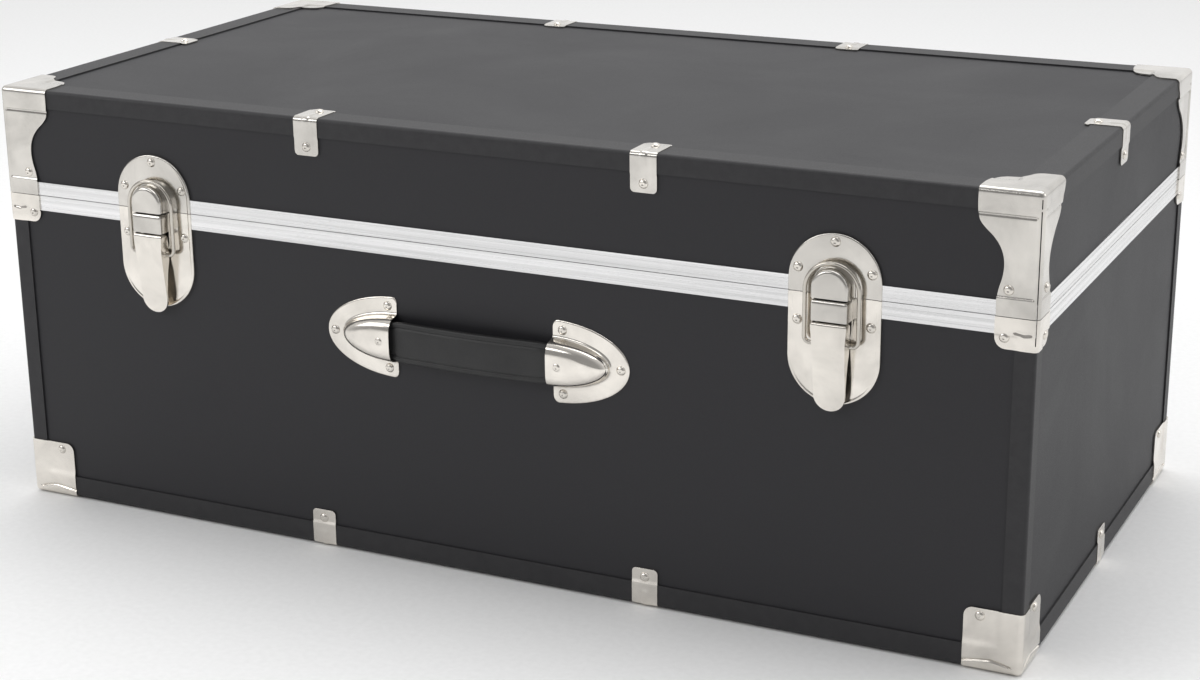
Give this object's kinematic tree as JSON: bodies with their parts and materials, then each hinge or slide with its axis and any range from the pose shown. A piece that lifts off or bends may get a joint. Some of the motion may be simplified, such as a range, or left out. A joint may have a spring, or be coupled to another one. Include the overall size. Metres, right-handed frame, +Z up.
{
  "type": "steamer trunk",
  "caption": "Flat-topped storage trunk with hinged lid, nickel corners and clips, draw latches, closure strip and a front carrying handle.",
  "frame": {"origin": "on the floor plane, under the centre of the whole trunk with its latches and hinges", "axes": "+X to the right along the trunk, -Y towards the latches and handle, +Z up"},
  "size_m": [0.7652, 0.4138, 0.3116],
  "materials": {
    "vinyl": "matt grained black vinyl",
    "binding": "satin black fibre",
    "closure_strip": "bright extruded",
    "nickel": "nickel plated pressed steel",
    "rivet": "nickel plated",
    "wire": "nickel plated wire",
    "hinge_steel": "nickel plated",
    "strap": "satin black",
    "lining": "matt lining paper"
  },
  "bodies": {
    "base": {"base_back_panel": "vinyl", "base_bottom_bindings": "binding", "base_bottom_panel": "vinyl", "base_edge_clips": "nickel", "base_front_panel": "vinyl", "base_left_panel": "vinyl", "base_lining": "lining", "base_right_panel": "vinyl", "base_rim_corner_back_left": "nickel", "base_rim_corner_back_right": "nickel", "base_rim_corner_front_left": "nickel", "base_rim_corner_front_right": "nickel", "base_rivets": "rivet", "base_upright_bindings": "binding", "base_valance": "closure_strip", "bottom_corner_back_left": "nickel", "bottom_corner_back_right": "nickel", "bottom_corner_front_left": "nickel", "bottom_corner_front_right": "nickel", "handle_cap_left": "nickel", "handle_cap_right": "nickel", "hinge_lower_leaf_left": "hinge_steel", "hinge_lower_leaf_right": "hinge_steel", "hinge_pins": "hinge_steel", "latch_bracket_left": "nickel", "latch_bracket_right": "nickel", "latch_pivot_left": "nickel", "latch_pivot_right": "nickel", "latch_plate_left": "nickel", "latch_plate_right": "nickel", "strap_end_left": "strap", "strap_end_right": "strap"},
    "lid": {"hinge_upper_leaf_left": "hinge_steel", "hinge_upper_leaf_right": "hinge_steel", "latch_keeper_left": "nickel", "latch_keeper_right": "nickel", "lid_back_panel": "vinyl", "lid_corner_back_left": "nickel", "lid_corner_back_right": "nickel", "lid_corner_front_left": "nickel", "lid_corner_front_right": "nickel", "lid_edge_clips": "nickel", "lid_front_panel": "vinyl", "lid_left_panel": "vinyl", "lid_lining": "lining", "lid_right_panel": "vinyl", "lid_rivets": "rivet", "lid_top_bindings": "binding", "lid_top_panel": "vinyl", "lid_upright_bindings": "binding", "lid_valance": "closure_strip"},
    "lever_left": {"latch_lever_left": "nickel"},
    "barrel_left": {"latch_barrel_left": "nickel"},
    "loop_left": {"latch_loop_left": "wire"},
    "lever_right": {"latch_lever_right": "nickel"},
    "barrel_right": {"latch_barrel_right": "nickel"},
    "loop_right": {"latch_loop_right": "wire"},
    "strap": {"strap_grip": "strap"}
  },
  "joints": [
    {"name": "lid_hinge", "type": "hinge", "parent": "base", "child": "lid", "pos_m": [0, 0.2037, 0.232], "axis": [-1, 0, 0], "range_deg": [0, 100]},
    {"name": "lever_left_pivot", "type": "hinge", "parent": "base", "child": "lever_left", "pos_m": [-0.253, -0.202, 0.213], "axis": [-1, 0, 0], "range_deg": [0, 95]},
    {"name": "barrel_left_pivot", "type": "hinge", "parent": "lever_left", "child": "barrel_left", "pos_m": [-0.253, -0.1995, 0.2015], "axis": [-1, 0, 0], "range_deg": [-95, 0]},
    {"name": "loop_left_swing", "type": "hinge", "parent": "barrel_left", "child": "loop_left", "pos_m": [-0.253, -0.1995, 0.2015], "axis": [1, 0, 0], "range_deg": [0, 150]},
    {"name": "lever_right_pivot", "type": "hinge", "parent": "base", "child": "lever_right", "pos_m": [0.253, -0.202, 0.213], "axis": [-1, 0, 0], "range_deg": [0, 95]},
    {"name": "barrel_right_pivot", "type": "hinge", "parent": "lever_right", "child": "barrel_right", "pos_m": [0.253, -0.1995, 0.2015], "axis": [-1, 0, 0], "range_deg": [-95, 0]},
    {"name": "loop_right_swing", "type": "hinge", "parent": "barrel_right", "child": "loop_right", "pos_m": [0.253, -0.1995, 0.2015], "axis": [1, 0, 0], "range_deg": [0, 150]},
    {"name": "strap_lift", "type": "slide", "parent": "base", "child": "strap", "axis": [0, -1, 0], "range_m": [0, 0.02], "stiffness_N_per_m": 200}
  ],
  "couplings": [
    {"joint": "barrel_left_pivot", "follows": "lever_left_pivot", "ratio": -1},
    {"joint": "barrel_right_pivot", "follows": "lever_right_pivot", "ratio": -1}
  ]
}
